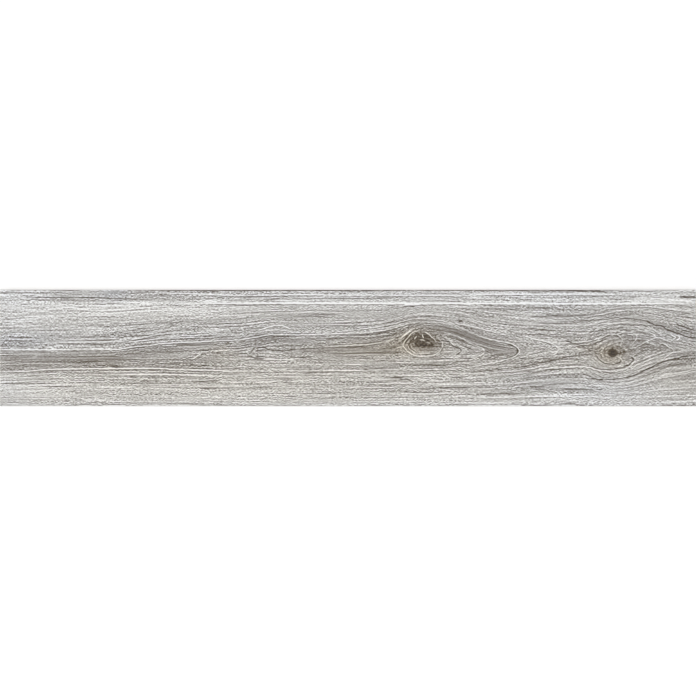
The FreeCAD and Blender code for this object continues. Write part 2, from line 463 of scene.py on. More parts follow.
paleLines = [
    (0.8, 0.7, [(155, 2), (190, 3.5), (240, 5), (300, 4.5), (348, 5), (460, 5), (500, 4.2),
                (600, 4.2), (640, 5)]),
    (1.0, 1.1, [(175, 13), (300, 13), (400, 13), (470, 13.2), (600, 13.6), (696, 13)]),
    (0.8, 0.5, [(0, 49), (36, 49)]),
    (1.0, 0.5, [(75, 59.5), (110, 59.5), (120, 59), (135, 56.5), (150, 55), (160, 53.5),
                (180, 52.5), (205, 51.5), (220, 50.5), (240, 49.5), (250, 48), (262, 46),
                (270, 44.5), (300, 44.5), (330, 43.5), (365, 42.5), (372, 42)]),
    (0.75, 0.5, [(365, 42.5), (378, 41), (385, 40), (400, 36), (410, 33), (420, 32)]),
    (0.5, 0.5, [(418, 32), (430, 31.8), (440, 32.5), (455, 35), (468, 41), (484, 47.5)]),
    (1.0, 0.55, [(478, 45.5), (490, 49), (500, 51), (510, 53), (515, 55.5), (519, 59), (519, 63),
                (515, 66), (510, 68)]),
    (0.85, 0.5, [(514, 66.5), (510, 68), (500, 71), (490, 73), (470, 77)]),
    (0.9, 0.6, [(5, 59.5), (90, 59.5)]),
    (0.65, 0.5, [(60, 52.5), (118, 51.5), (134, 49), (146, 46.5), (160, 44), (176, 42.5), (196, 41)]),
    (0.7, 0.5, [(128, 52), (142, 50.5), (156, 48.5), (170, 46.5), (195, 45), (235, 43)]),
    (0.6, 0.5, [(60, 49.5), (100, 48.5), (124, 48), (140, 47.3)]),
    (1.0, 0.6, [(0, 82), (10, 81.3), (25, 81.3), (50, 79), (93, 78.5), (133, 78.3), (160, 78.3),
                 (175, 79.3), (215, 80), (230, 81.3), (248, 81)]),
    (0.55, 0.5, [(240, 81.1), (280, 80.4), (330, 80.4)]),
    (1.0, 0.6, [(322, 80.3), (366, 80.1)]),
    (0.6, 0.5, [(360, 80), (400, 79.5), (450, 79), (465, 76.8)]),
    (1.1, 0.6, [(12, 81.3), (26, 81.3)]),
    (0.9, 0.5, [(344, 74.4), (364, 74.4)]),
    (0.8, 0.5, [(98, 97), (132, 97)]),
    (0.8, 0.5, [(478, 107.6), (520, 107.5)]),
    (1.0, 0.5, [(520, 106.5), (600, 106.5)]),
    (0.6, 0.45, [(600, 105), (640, 102), (660, 99.5), (696, 97)]),
    (1.0, 0.55, [(404, 14.6), (420, 14.6)]),
    (0.9, 0.55, [(118, 84.5), (175, 84.5), (215, 85.3)]),
    (0.5, 0.5, [(300, 84.6), (350, 84.5), (400, 84.5)]),
    (0.5, 0.5, [(0, 87), (80, 87), (150, 89)]),
    # The small figure
    (0.6, 0.45, [(325, 56.4), (350, 55), (368, 54), (385, 51), (400, 48)]),
    (1.0, 0.5, [(258, 40.5), (266, 37.5), (275, 35.5), (284, 36), (292, 39.5)]),
    (0.6, 0.45, [(254, 44), (262, 41), (272, 39.5), (284, 40), (294, 42)]),
    (1.0, 0.5, [(191, 69), (195, 67.5), (201, 63.5)]),
    (0.6, 0.5, [(250, 59.5), (247, 62), (250, 65)]),
    (0.8, 0.6, [(268, 62), (276, 63.5), (284, 63)]),
    (0.7, 0.5, [(262, 69), (282, 69.5), (296, 69)]),
    # First knot
    (0.4, 0.5, [(350, 36), (380, 33), (400, 28.5), (412, 25), (430, 24.5), (450, 27)]),
    (0.65, 0.5, [(345, 40), (375, 37), (400, 32), (415, 28.5), (435, 29.5), (452, 32.8), (466, 35),
                 (484, 39.3), (497, 42), (507, 44)]),
    (0.8, 0.5, [(448, 17), (462, 16.8), (476, 17.2)]),
    (0.6, 0.45, [(398, 52), (402, 47), (406, 43), (410, 40), (414, 38), (419, 36.5)]),
    (0.65, 0.5, [(437, 47.3), (440.3, 50), (442.5, 53), (442.5, 56), (441, 59), (437, 63), (430, 66),
                 (421, 66.3), (414, 65), (408, 61.5), (404, 57), (403, 54), (406, 49.5), (409, 46),
                 (412, 43), (416, 41), (423, 40.8)]),
    (0.55, 0.4, [(407.3, 54), (409, 58), (413, 61.6), (420, 63.6), (430, 63)]),
    (0.55, 0.4, [(410, 54), (412, 58), (416, 60.6), (421, 61.6)]),
    (0.8, 0.45, [(414.5, 49), (416.8, 45.8)]),
    (1.0, 0.5, [(422.6, 44.6), (423.2, 47.8)]),
    (0.9, 0.45, [(424, 41.2), (428.6, 44), (433, 48), (437, 51.6)]),
    (0.75, 0.45, [(400.8, 48.8), (405, 45.2), (409, 41.7), (412, 40.6)]),
    (0.8, 0.45, [(420.5, 49.3), (425, 50.5)]),
    (0.6, 0.4, [(426.5, 51.6), (430.5, 53)]),
    (0.9, 0.45, [(445, 46), (448.5, 48.8), (451, 52), (454.5, 54.8)]),
    (0.7, 0.45, [(453, 68.6), (456.8, 67.4), (460.6, 65.6)]),
    (0.6, 0.45, [(436, 41), (446, 42.5), (456, 45.5), (465, 49.5), (470, 53), (478, 56), (484, 59), (484.5, 62), (481, 65), (475, 68), (470, 70)]),
    (0.6, 0.45, [(480, 57.5), (484, 60.5), (482, 64), (476, 67.5), (469, 70.5)]),
    (1.0, 0.5, [(523, 45), (535, 49), (545, 51), (553, 54), (558, 58), (557.5, 62), (552, 65)]),
    (0.55, 0.5, [(520, 53), (528, 57), (530, 62), (524, 67)]),
    # Second knot
    (0.9, 0.5, [(530, 81), (545, 78.6), (560, 77.6), (585, 76.6), (598, 80), (612, 81), (623, 79.5), (629, 76.5),
                (633, 73.5), (635, 70), (633.5, 66.5), (629, 65)]),
    (0.55, 0.5, [(596, 51.5), (600, 48.5), (605, 45.5), (611, 43.8), (616, 44), (620, 46),
                (622.5, 50), (621, 54)]),
    (0.5, 0.5, [(606, 42), (614, 41), (624, 41.5), (632, 42.5), (637, 46), (635.5, 50),
                (631, 55)]),
    (0.55, 0.5, [(636, 39.5), (647, 41.5), (653, 44), (655.5, 47), (651, 49.5), (645, 52),
                 (638, 56), (631, 59)]),
    (0.4, 0.6, [(612, 36), (630, 36.5), (650, 38), (662, 45)]),
    (0.6, 0.5, [(657, 55), (663, 53), (667, 55.5), (674, 60), (671, 63), (667, 66), (661, 71)]),
    (0.6, 0.5, [(646, 64), (650, 66.5), (650, 69)]),
    (0.6, 0.5, [(618, 66.5), (621.5, 69.5), (623, 72)]),
    (2.0, 0.5, [(671, 44.5), (675.5, 47.4), (672, 50)]),
    (1.6, 0.45, [(676, 44.8), (680, 47.6), (677, 50)]),
    (1.4, 0.5, [(676.5, 44.8), (679.5, 47.5), (677, 50.2)]),
    (0.4, 0.5, [(600, 91), (630, 89), (650, 80), (664, 74)]),
    (0.6, 0.45, [(640, 93), (668, 86.5), (696, 81)]),
    (0.5, 0.4, [(650, 89), (672, 84), (696, 79)]),
    (0.6, 0.45, [(556, 35.5), (590, 34.5), (620, 32.5), (645, 33.5)]),
]


def deselectAll():
    for item in list(bpy.context.selected_objects):
        item.select_set(False)


def work(piece):
    deselectAll()
    piece.select_set(True)
    bpy.context.view_layer.objects.active = piece


def readPlaces(piece):
    places = np.empty(len(piece.data.vertices) * 3)
    piece.data.vertices.foreach_get("co", places)
    return places.reshape(-1, 3)


def writePlaces(piece, places):
    piece.data.vertices.foreach_set("co", places.ravel())
    piece.data.update()


def pick(piece, chosen):
    # Opens edit mode with just these vertices selected, and the edges and faces between them
    mesh = piece.data
    work(piece)
    bpy.context.tool_settings.mesh_select_mode = (True, False, False)
    mesh.edges.foreach_set("select", np.zeros(len(mesh.edges), bool))
    mesh.polygons.foreach_set("select", np.zeros(len(mesh.polygons), bool))
    mesh.vertices.foreach_set("select", np.asarray(chosen, bool))
    bpy.ops.object.mode_set(mode="EDIT")


def pickedNow(piece):
    # Leaves edit mode and says which vertices were selected there
    bpy.ops.object.mode_set(mode="OBJECT")
    chosen = np.empty(len(piece.data.vertices), bool)
    piece.data.vertices.foreach_get("select", chosen)
    return chosen


def applyModifiers(piece):
    work(piece)
    for modifier in list(piece.modifiers):
        bpy.ops.object.modifier_apply(modifier=modifier.name)


def smoothSteps(values, passes, axis):
    # Each pass averages a value with its neighbours
    for _ in range(passes):
        padded = np.pad(values, [(1, 1) if a == axis else (0, 0) for a in range(values.ndim)],
                        mode="edge")
        middle = np.take(padded, range(1, padded.shape[axis] - 1), axis)
        before = np.take(padded, range(0, padded.shape[axis] - 2), axis)
        after = np.take(padded, range(2, padded.shape[axis]), axis)
        values = middle / 2 + (before + after) / 4
    return values


def alongPoints(points, x):
    spots = np.array(points, float)
    return np.interp(x, spots[:, 0], spots[:, 1])


def ringTable():
    # Ring level on a table of half rows by whole cells, from the guides
    xs = np.arange(0, sheet["cells"] + 1.0)
    rows = np.arange(-1, 117.01, 0.5)
    heart = smoothSteps(alongPoints(rings["heart"], xs), 30, 0)
    heartLevel = smoothSteps(alongPoints(rings["heartLevel"], xs), 12, 0)
    table = np.empty((len(rows), len(xs)))
    for column, x in enumerate(xs):
        level = np.empty(len(rows))
        for side, sign in (("above", -1), ("below", 1)):
            nodes = [(0.0, heartLevel[column])]
            for guideLevel, points in rings[side]:
                if points[0][0] <= x <= points[-1][0]:
                    offset = sign * (alongPoints(points, x) - heart[column])
                    if offset > 0.4 and guideLevel > heartLevel[column] + 0.2:
                        nodes.append((offset, guideLevel))
            nodes.sort()
            offsets = np.array([node[0] for node in nodes])
            levels = np.maximum.accumulate(np.array([node[1] for node in nodes]))
            mine = sign * (rows - heart[column]) >= 0
            level[mine] = np.interp(sign * (rows[mine] - heart[column]), offsets, levels)
        table[:, column] = level
    table = smoothSteps(table, 10, 0)
    table = smoothSteps(table, 6, 1)
    return xs, rows, heart, table


def fibreRow(x, row, ringSheet):
    # The row a fibre would have on a plank without knots
    xs = ringSheet[0]
    upper = smoothSteps(alongPoints(fibres["upper"], xs), 8, 0)
    lower = smoothSteps(alongPoints(fibres["lower"], xs), 8, 0)
    upperHere = np.interp(x, xs, upper)
    lowerHere = np.interp(x, xs, lower)
    heartHere = np.interp(x, xs, ringSheet[2])
    edge = sheet["rows"]
    above = (fibres["upperRow"] - upperHere) * np.clip(row / upperHere, 0, 1)
    below = (fibres["lowerRow"] - lowerHere) * np.clip((edge - row) / (edge - lowerHere), 0, 1)
    return row + np.where(row < heartHere, above, below)


def readTable(table, x, row):
    # Value of a table of half rows by whole cells at places on the sheet
    column = np.clip(x, 0, sheet["cells"] - 1e-6)
    line = np.clip((row + 1) * 2, 0, table.shape[0] - 1 - 1e-6)
    left = column.astype(int)
    up = line.astype(int)
    a = column - left
    b = line - up
    return (table[up, left] * (1 - a) * (1 - b) + table[up, left + 1] * a * (1 - b)
            + table[up + 1, left] * (1 - a) * b + table[up + 1, left + 1] * a * b)


def ringsAt(x, row, ringSheet):
    # Ring level and side of the heart at places on the sheet
    xs, rows, heart, table = ringSheet
    level = readTable(table, x, row)
    for knot in rings["knots"]:
        far = spotDistance(x, row, knot["at"], knot["size"], knot["tilt"])
        level = level - knot["dip"] * np.exp(-far ** 2 / (1 + far ** 2) * 1.6 - far ** 2 / 3)
    side = np.clip((row - np.interp(x, xs, heart)) / 9, -1, 1)
    return level, side


def spotDistance(x, row, at, size, tilt):
    # Distance from a spot's middle, as a share of its half sizes
    turn = math.radians(tilt)
    dx = x - at[0]
    dy = row - at[1]
    u = (dx * math.cos(turn) + dy * math.sin(turn)) / size[0]
    v = (dy * math.cos(turn) - dx * math.sin(turn)) / size[1]
    return np.sqrt(u ** 2 + v ** 2)


def roundOff(points):
    # Puts three more points between each two, on a smooth curve through them all
    spots = np.array(points, float)
    if len(spots) < 3:
        return spots
    ends = np.vstack([2 * spots[0] - spots[1], spots, 2 * spots[-1] - spots[-2]])
    curve = []
    for index in range(1, len(ends) - 2):
        p0, p1, p2, p3 = ends[index - 1:index + 3]
        for t in (0, 0.25, 0.5, 0.75):
            curve.append(0.5 * (2 * p1 + (p2 - p0) * t + (2 * p0 - 5 * p1 + 4 * p2 - p3) * t ** 2
                                + (3 * p1 - p0 - 3 * p2 + p3) * t ** 3))
    curve.append(spots[-1])
    return np.array(curve)


def strokePlaces(x, row, points, reach):
    # Places near a stroke: which they are, how far off it, on which side, how far from its ends
    spots = roundOff(points)
    near = ((x > spots[:, 0].min() - reach) & (x < spots[:, 0].max() + reach)
            & (row > spots[:, 1].min() - reach) & (row < spots[:, 1].max() + reach))
    off = np.full(near.sum(), 1e9)
    side = np.ones(off.shape)
    done = np.zeros(off.shape)
    lengths = np.hypot(*np.diff(spots, axis=0).T)
    total = lengths.sum()
    passed = 0.0
    for start, end, length in zip(spots[:-1], spots[1:], lengths):
        if length == 0:
            continue
        alongX, alongRow = (end - start) / length
        dx = x[near] - start[0]
        dy = row[near] - start[1]
        t = np.clip(dx * alongX + dy * alongRow, 0, length)
        far = np.hypot(dx - t * alongX, dy - t * alongRow)
        closer = far < off
        off = np.where(closer, far, off)
        side = np.where(closer, np.sign(dx * alongRow - dy * alongX), side)
        done = np.where(closer, passed + t, done)
        passed += length
    return near, off, side, np.minimum(done, total - done) / total


def drawBand(values, x, row, strength, width, points):
    # Adds one soft brush stroke to the values, thinning out at both ends
    near, off, side, toEnd = strokePlaces(x, row, points, width * 3.2)
    fade = np.clip(toEnd / 0.15, 0, 1) * 0.75 + 0.25
    values[near] += strength * fade * np.exp(-(off / width) ** 2)


def traceLine(marks, x, row, strength, width, points):
    # Lays one thin line among the marks. They say how far a place lies off its nearest line,
    # in half widths and with a sign for the side, and how strong that line is there
    near, off, side, toEnd = strokePlaces(x, row, points, 6)
    off = off / width
    rank = off - 0.8 * strength
    before = marks["rank"][near]
    meeting = (np.abs(rank - before) < 1.5) & (rank < 4)
    if (side * np.sign(marks["off"][near]))[meeting].sum() < 0:
        side = -side
    fade = np.clip(toEnd / 0.12, 0, 1) * 0.7 + 0.3
    chosen = np.flatnonzero(near)[rank < before]
    mine = rank < before
    marks["rank"][chosen] = rank[mine]
    marks["off"][chosen] = (np.minimum(off, 6) * side)[mine]
    marks["strength"][chosen] = (strength * fade * np.clip((3 - off) / 1.5, 0, 1))[mine]


def drawPrint(x, row):
    # The print's tone, warmth, dark lines and pale lines at places on the sheet; the dark lines also carry a painted
    # shadow below each pale line
    tone = np.full(x.shape, 180.0)
    for strength, width, points in toneBands:
        drawBand(tone, x, row, strength, width, points)
    for strength, sizeAlong, sizeAcross, tilt, at in toneSpots:
        tone += strength * np.exp(-spotDistance(x, row, at, (sizeAlong, sizeAcross), tilt) ** 2)
    for strength, sizeAlong, sizeAcross, tilt, at in knotCores:
        tone += strength * np.exp(-spotDistance(x, row, at, (sizeAlong, sizeAcross), tilt) ** 6)
    warmth = np.full(x.shape, 0.15)
    for amount, sizeAlong, sizeAcross, at in warmSpots:
        warmth += amount * np.exp(-spotDistance(x, row, at, (sizeAlong, sizeAcross), 0) ** 2)
    calm = np.ones(x.shape)
    for amount, sizeAlong, sizeAcross, tilt, at in calmSpots:
        calm -= amount * np.exp(-spotDistance(x, row, at, (sizeAlong, sizeAcross), tilt) ** 2)
    calm = np.maximum(calm, 0.3)
    # The lines waver a little
    x, row = (x + 0.25 * np.sin(row * 1.3 + x * 0.4),
              row + 0.2 * np.sin(x * 0.8 + 2 * np.sin(row * 0.4)) + 0.16 * np.sin(x * 2.1 + row))
    marks = []
    for _ in range(2):
        marks.append({"rank": np.full(x.shape, 1e9), "off": np.full(x.shape, 6.0),
                      "strength": np.zeros(x.shape)})
    darkAndShade, pale = marks
    for strength, width, points in darkLines:
        traceLine(darkAndShade, x, row, strength, width * 0.85, points)
    for strength, width, points in paleLines:
        traceLine(pale, x, row, strength, width * 0.85, points)
        # Painted shadow: each pale line also lays a fainter dark line 1.1 rows further down the sheet, as the shade
        # of a raised ridge
        traceLine(darkAndShade, x, row - 1.1, strength * 0.4, width * 0.85, points)
    return tone / 255, warmth, calm, darkAndShade, pale


def storeValues(piece, name, kind, values):
    layer = piece.data.attributes.new(name, kind, "POINT")
    layer.data.foreach_set("vector" if kind == "FLOAT_VECTOR" else "value",
                           np.ascontiguousarray(values, np.float32).ravel())


def storePrint(piece, ringSheet):
    places = readPlaces(piece)
    x = places[:, 0] / cell + sheet["middle"]
    row = sheet["middleRow"] - places[:, 1] / cell
    level, side = ringsAt(x, row, ringSheet)
    fibre = fibreRow(x, row, ringSheet)
    near = np.zeros(x.shape)
    for knot in rings["knots"]:
        far = spotDistance(x, row, knot["at"], knot["size"], knot["tilt"]) / knot["reach"]
        core = np.exp(-(far * knot["reach"] / 0.5) ** 2)
        near = np.maximum(near, np.exp(-far ** 4) * (1 - 0.8 * core))
    tone, warmth, calm, darkAndShade, pale = drawPrint(x, row)
    storeValues(piece, "ringFlow", "FLOAT_VECTOR", np.stack([x, level, side], 1))
    storeValues(piece, "fibreFlow", "FLOAT_VECTOR", np.stack([x, fibre, near], 1))
    storeValues(piece, "printTone", "FLOAT", tone)
    storeValues(piece, "printWarmth", "FLOAT", warmth)
    storeValues(piece, "printCalm", "FLOAT", calm)
    for name, marks in (("darkLines", darkAndShade), ("paleLines", pale)):
        storeValues(piece, name, "FLOAT_VECTOR",
                    np.stack([marks["off"], marks["strength"], np.zeros(x.shape)], 1))


def addNode(tree, kind, inputs=None, **settings):
    node = tree.nodes.new(kind)
    for name, value in settings.items():
        setattr(node, name, value)
    for key, value in (inputs or {}).items():
        socket = node.inputs[key]
        if isinstance(value, bpy.types.NodeSocket):
            tree.links.new(value, socket)
        else:
            socket.default_value = value
    return node


def calc(tree, operation, *values, clamp=False):
    inputs = dict(enumerate(values))
    return addNode(tree, "ShaderNodeMath", inputs, operation=operation, use_clamp=clamp).outputs[0]


def streaks(tree, flow, along, across, seed, detail=0.0, sideways=0.6, roughness=0.5):
    # Noise drawn out along the grain, from 0 to 1: sizes are in cells of the sheet
    moved = addNode(tree, "ShaderNodeVectorMath", {
        0: flow, 1: (1 / along, 1 / across, sideways), 2: (seed * 7.13, seed * 3.71, seed * 1.9),
    }, operation="MULTIPLY_ADD").outputs[0]
    noise = addNode(tree, "ShaderNodeTexNoise", {
        "Vector": moved, "Scale": 1.0, "Detail": detail, "Roughness": roughness,
    }, noise_dimensions="3D")
    return noise.outputs[0]


def lineCarrier(tree, flow, perCell, wander, seed):
    # Even fine lines along the flow, which wander a little from their spacing: from -1 to 1
    across = addNode(tree, "ShaderNodeSeparateXYZ", {0: flow}).outputs[1]
    drift = streaks(tree, flow, 45.0, 5.0, seed)
    turns = calc(tree, "MULTIPLY_ADD", drift, wander,
                 calc(tree, "MULTIPLY", across, perCell * math.tau))
    return calc(tree, "COSINE", turns)


def lineMark(tree, marks):
    # How much of its nearest thin line a place takes
    parts = addNode(tree, "ShaderNodeSeparateXYZ", {0: marks}).outputs
    share = addNode(tree, "ShaderNodeMapRange", {
        "Value": calc(tree, "ABSOLUTE", parts[0]), "From Min": 0.3, "From Max": 1.4,
        "To Min": 1.0, "To Max": 0.0,
    }, interpolation_type="SMOOTHSTEP").outputs[0]
    return calc(tree, "MULTIPLY", share, parts[1])


def addReliefModifier(piece):
    # Sinks the face along the streaks and dark lines, deepest in the dark lines
    tree = bpy.data.node_groups.new("pressedGrain", "GeometryNodeTree")
    tree.interface.new_socket("Geometry", in_out="INPUT", socket_type="NodeSocketGeometry")
    tree.interface.new_socket("Geometry", in_out="OUTPUT", socket_type="NodeSocketGeometry")
    start = addNode(tree, "NodeGroupInput")
    end = addNode(tree, "NodeGroupOutput")
    flow = addNode(tree, "GeometryNodeInputNamedAttribute", {"Name": "fibreFlow"},
                   data_type="FLOAT_VECTOR").outputs[0]
    darkAndShade = lineMark(tree, addNode(tree, "GeometryNodeInputNamedAttribute", {"Name": "darkLines"},
                                  data_type="FLOAT_VECTOR").outputs[0])
    pale = lineMark(tree, addNode(tree, "GeometryNodeInputNamedAttribute", {"Name": "paleLines"},
                                  data_type="FLOAT_VECTOR").outputs[0])
    broad = streaks(tree, flow, 60.0, 5.0, 3, 1.0, 0.0)
    fine = streaks(tree, flow, 16.0, 1.8, 5, 0.0, 0.0)
    sink = calc(tree, "MULTIPLY_ADD", broad, -1.3, 0.75)
    sink = calc(tree, "MULTIPLY_ADD", fine, -1.5, calc(tree, "ADD", sink, 0.75))
    sink = calc(tree, "MULTIPLY_ADD", darkAndShade, 0.6, sink)
    sink = calc(tree, "MULTIPLY_ADD", pale, -0.25, sink, clamp=True)
    height = calc(tree, "MULTIPLY", sink, -tile["reliefDepth"])
    offset = addNode(tree, "ShaderNodeCombineXYZ", {"Z": height}).outputs[0]
    moved = addNode(tree, "GeometryNodeSetPosition", {"Offset": offset})
    tree.links.new(start.outputs[0], moved.inputs[0])
    tree.links.new(moved.outputs[0], end.inputs[0])
    modifier = piece.modifiers.new("pressedGrain", "NODES")
    modifier.node_group = tree


def spreadOut(count, cells, step, zones):
    # Places from -0.5 to 0.5 for the lines of a grid, closer together in the zones
    fine = np.linspace(0, cells, int(cells * 10) + 1)
    steps = np.full(fine.shape, step)
    for start, end, size in zones:
        steps[(fine >= start) & (fine <= end)] = size
    steps = smoothSteps(steps, 300, 0)
    share = np.concatenate([[0], np.cumsum(2 / (steps[1:] + steps[:-1]))])
    share /= share[-1]
    return np.interp(np.linspace(0, 1, count), share, fine / cells) - 0.5


def makeFace(ringSheet):
    # The pressed and printed face, inside its arris
    deselectAll()
    sizeX = tile["length"] - 2 * tile["arris"]
    sizeY = tile["width"] - 2 * tile["arris"]
    bpy.ops.mesh.primitive_grid_add(x_subdivisions=tile["columns"], y_subdivisions=tile["rows"],
                                    size=1, location=(0, 0, tile["thickness"]))
    face = bpy.context.object
    face.name = "plankTile"
    bpy.ops.transform.resize(value=(sizeX, sizeY, 1))
    bpy.ops.object.transform_apply(location=True, rotation=True, scale=True)
    places = readPlaces(face)
    columns = np.unique(places[:, 0].round(6))
    zones = tile["midColumns"] + [(start, end, 1.0) for start, end in tile["closeColumns"]]
    spread = spreadOut(len(columns), sheet["cells"], tile["columnStep"], zones) * sizeX
    places[:, 0] = np.interp(places[:, 0], columns, spread)
    rows = np.unique(places[:, 1].round(6))
    zones = [(sheet["rows"] - end, sheet["rows"] - start, tile["closeRowStep"])
             for start, end in tile["closeRows"]]
    spread = spreadOut(len(rows), sheet["rows"], tile["rowStep"], zones) * sizeY
    places[:, 1] = np.interp(places[:, 1], rows, spread)
    writePlaces(face, places)
    storePrint(face, ringSheet)
    addReliefModifier(face)
    applyModifiers(face)
    return face


def addGroundEdges(face):
    # Extrudes the rim down the arris and down the ground edges to the bedding plane
    halfX = tile["length"] / 2
    halfY = tile["width"] / 2
    places = readPlaces(face)
    sunk = tile["thickness"] - places[:, 2]
    atEnd = np.abs(places[:, 0]) > halfX - tile["arris"] - 1e-6
    atSide = np.abs(places[:, 1]) > halfY - tile["arris"] - 1e-6
    # A sunken place of the rim meets the arris a little further out
    places[atEnd, 0] += np.sign(places[atEnd, 0]) * sunk[atEnd]
    places[atSide, 1] += np.sign(places[atSide, 1]) * sunk[atSide]
    writePlaces(face, places)
    pick(face, atEnd | atSide)
    bpy.ops.mesh.select_all(action="DESELECT")
    bpy.ops.mesh.select_non_manifold()
    bpy.ops.mesh.extrude_edges_move()
    rim = pickedNow(face)
    places = readPlaces(face)
    atEnd = rim & (np.abs(places[:, 0]) > halfX - tile["arris"] - 1e-6)
    atSide = rim & (np.abs(places[:, 1]) > halfY - tile["arris"] - 1e-6)
    places[atEnd, 0] = np.sign(places[atEnd, 0]) * halfX
    places[atSide, 1] = np.sign(places[atSide, 1]) * halfY
    places[rim, 2] = tile["thickness"] - tile["arris"]
    writePlaces(face, places)
    pick(face, rim)
    bpy.ops.mesh.select_all(action="DESELECT")
    bpy.ops.mesh.select_non_manifold()
    drop = tile["arris"] - tile["thickness"]
    bpy.ops.mesh.extrude_edges_move(TRANSFORM_OT_translate={"value": (0, 0, drop)})
    bpy.ops.object.mode_set(mode="OBJECT")


def makeLattice():
    # One recess with its share of the ribs, copied along and across the back
    deselectAll()
    corner = (-(back["along"] - 1) * back["pitch"] / 2, -(back["across"] - 1) * back["pitch"] / 2)
    bpy.ops.mesh.primitive_plane_add(size=back["mouth"], location=(corner[0], corner[1], 0))
    lattice = bpy.context.object
    bpy.ops.object.transform_apply(location=True, rotation=True, scale=True)
    pick(lattice, np.ones(4, bool))
    bpy.ops.mesh.flip_normals()
    bpy.ops.mesh.bevel(offset=back["cornerCut"], offset_type="OFFSET", affect="VERTICES")
    bpy.ops.mesh.select_all(action="DESELECT")
    bpy.ops.mesh.select_non_manifold()
    bpy.ops.mesh.extrude_edges_move()
    rim = pickedNow(lattice)
    places = readPlaces(lattice)
    for signX in (-1, 1):
        for signY in (-1, 1):
            mine = (rim & ((places[:, 0] - corner[0]) * signX > 0)
                    & ((places[:, 1] - corner[1]) * signY > 0))
            crossing = (corner[0] + signX * back["pitch"] / 2,
                        corner[1] + signY * back["pitch"] / 2, 0)
            pick(lattice, mine)
            bpy.ops.transform.resize(value=(0, 0, 0), center_override=crossing)
            bpy.ops.object.mode_set(mode="OBJECT")
    pick(lattice, np.ones(len(places), bool))
    bpy.ops.mesh.remove_doubles(threshold=1e-6)
    bpy.ops.object.mode_set(mode="OBJECT")
    floor = max(lattice.data.polygons, key=lambda face: len(face.vertices))
    chosen = np.zeros(len(lattice.data.vertices), bool)
    chosen[list(floor.vertices)] = True
    pick(lattice, chosen)
    lean = back["depth"] * math.tan(math.radians(back["draft"]))
    bpy.ops.mesh.inset(thickness=lean, depth=-back["depth"])
    bpy.ops.object.mode_set(mode="OBJECT")
    for count, direction in ((back["along"], (back["pitch"], 0, 0)),
                             (back["across"], (0, back["pitch"], 0))):
        copies = lattice.modifiers.new("copies", "ARRAY")
        copies.count = count
        copies.use_relative_offset = False
        copies.use_constant_offset = True
        copies.constant_offset_displace = direction
        copies.use_merge_vertices = True
        copies.merge_threshold = 1e-5
    applyModifiers(lattice)
    return lattice


def makeTile():
    ringSheet = ringTable()
    piece = makeFace(ringSheet)
    print("face pressed")
    addGroundEdges(piece)
    lattice = makeLattice()
    deselectAll()
    lattice.select_set(True)
    piece.select_set(True)
    bpy.context.view_layer.objects.active = piece
    bpy.ops.object.join()
    pick(piece, np.zeros(len(piece.data.vertices), bool))
    bpy.ops.mesh.select_non_manifold()
    bpy.ops.mesh.fill(use_beauty=True)  # the plain margin round the lattice
    bpy.ops.mesh.select_all(action="SELECT")
    bpy.ops.mesh.normals_make_consistent(inside=False)
    bpy.ops.object.mode_set(mode="OBJECT")
    print("edges and back closed")
    # The whole piece takes the print's values at its places, for the glaze on the arris
    for name in ("ringFlow", "fibreFlow", "printTone", "printWarmth", "printCalm", "darkLines",
                 "paleLines"):
        piece.data.attributes.remove(piece.data.attributes[name])
    storePrint(piece, ringSheet)
    work(piece)
    bpy.ops.object.shade_smooth_by_angle(angle=math.radians(25))
    return piece


def newMaterial(name):
    material = bpy.data.materials.new(name)
    material.use_nodes = True
    tree = material.node_tree
    tree.nodes.clear()
    shader = addNode(tree, "ShaderNodeBsdfPrincipled")
    output = addNode(tree, "ShaderNodeOutputMaterial")
    tree.links.new(shader.outputs[0], output.inputs[0])
    return material, tree, shader


def fillRamp(ramp, stops):
    while len(ramp.elements) < len(stops):
        ramp.elements.new(0.5)
    for element, (place, color) in zip(ramp.elements, stops):
        element.position = place
        element.color = (*color, 1)


def toLinear(color):
    return tuple(((c / 255 + 0.055) / 1.055) ** 2.4 for c in color)


# The print's ink: each tone of a 255 scale and its colour
ink = {
    "tones": [
        (30, (38, 25, 6)),
        (60, (71, 58, 40)),
        (90, (99, 89, 76)),
        (120, (126, 120, 113)),
        (150, (154, 150, 147)),
        (180, (182, 180, 176)),
        (210, (211, 209, 206)),
        (255, (254, 254, 253)),
    ],
    "exposure": 0.785,  # share of the colour that the albedo keeps under the studio light
    "pores": 1.8,
    "dashes": 0.5,
    "fineLines": 0.95,
    "longLines": 0.6,
    "ringLines": 0.35,
    "knotLines": 0.4,
    "broadLines": 0.05,
    "speckle": 1.05,
    "thinLines": 0.17,
    "darkLine": 1.4,
    "darkTone": 0.22,
    "paleLine": 1.7,
    "paleTone": 1.0,
    "warm": (0.021, 0.0, -0.045),  # change of the colour where the print's warmth is 1
}


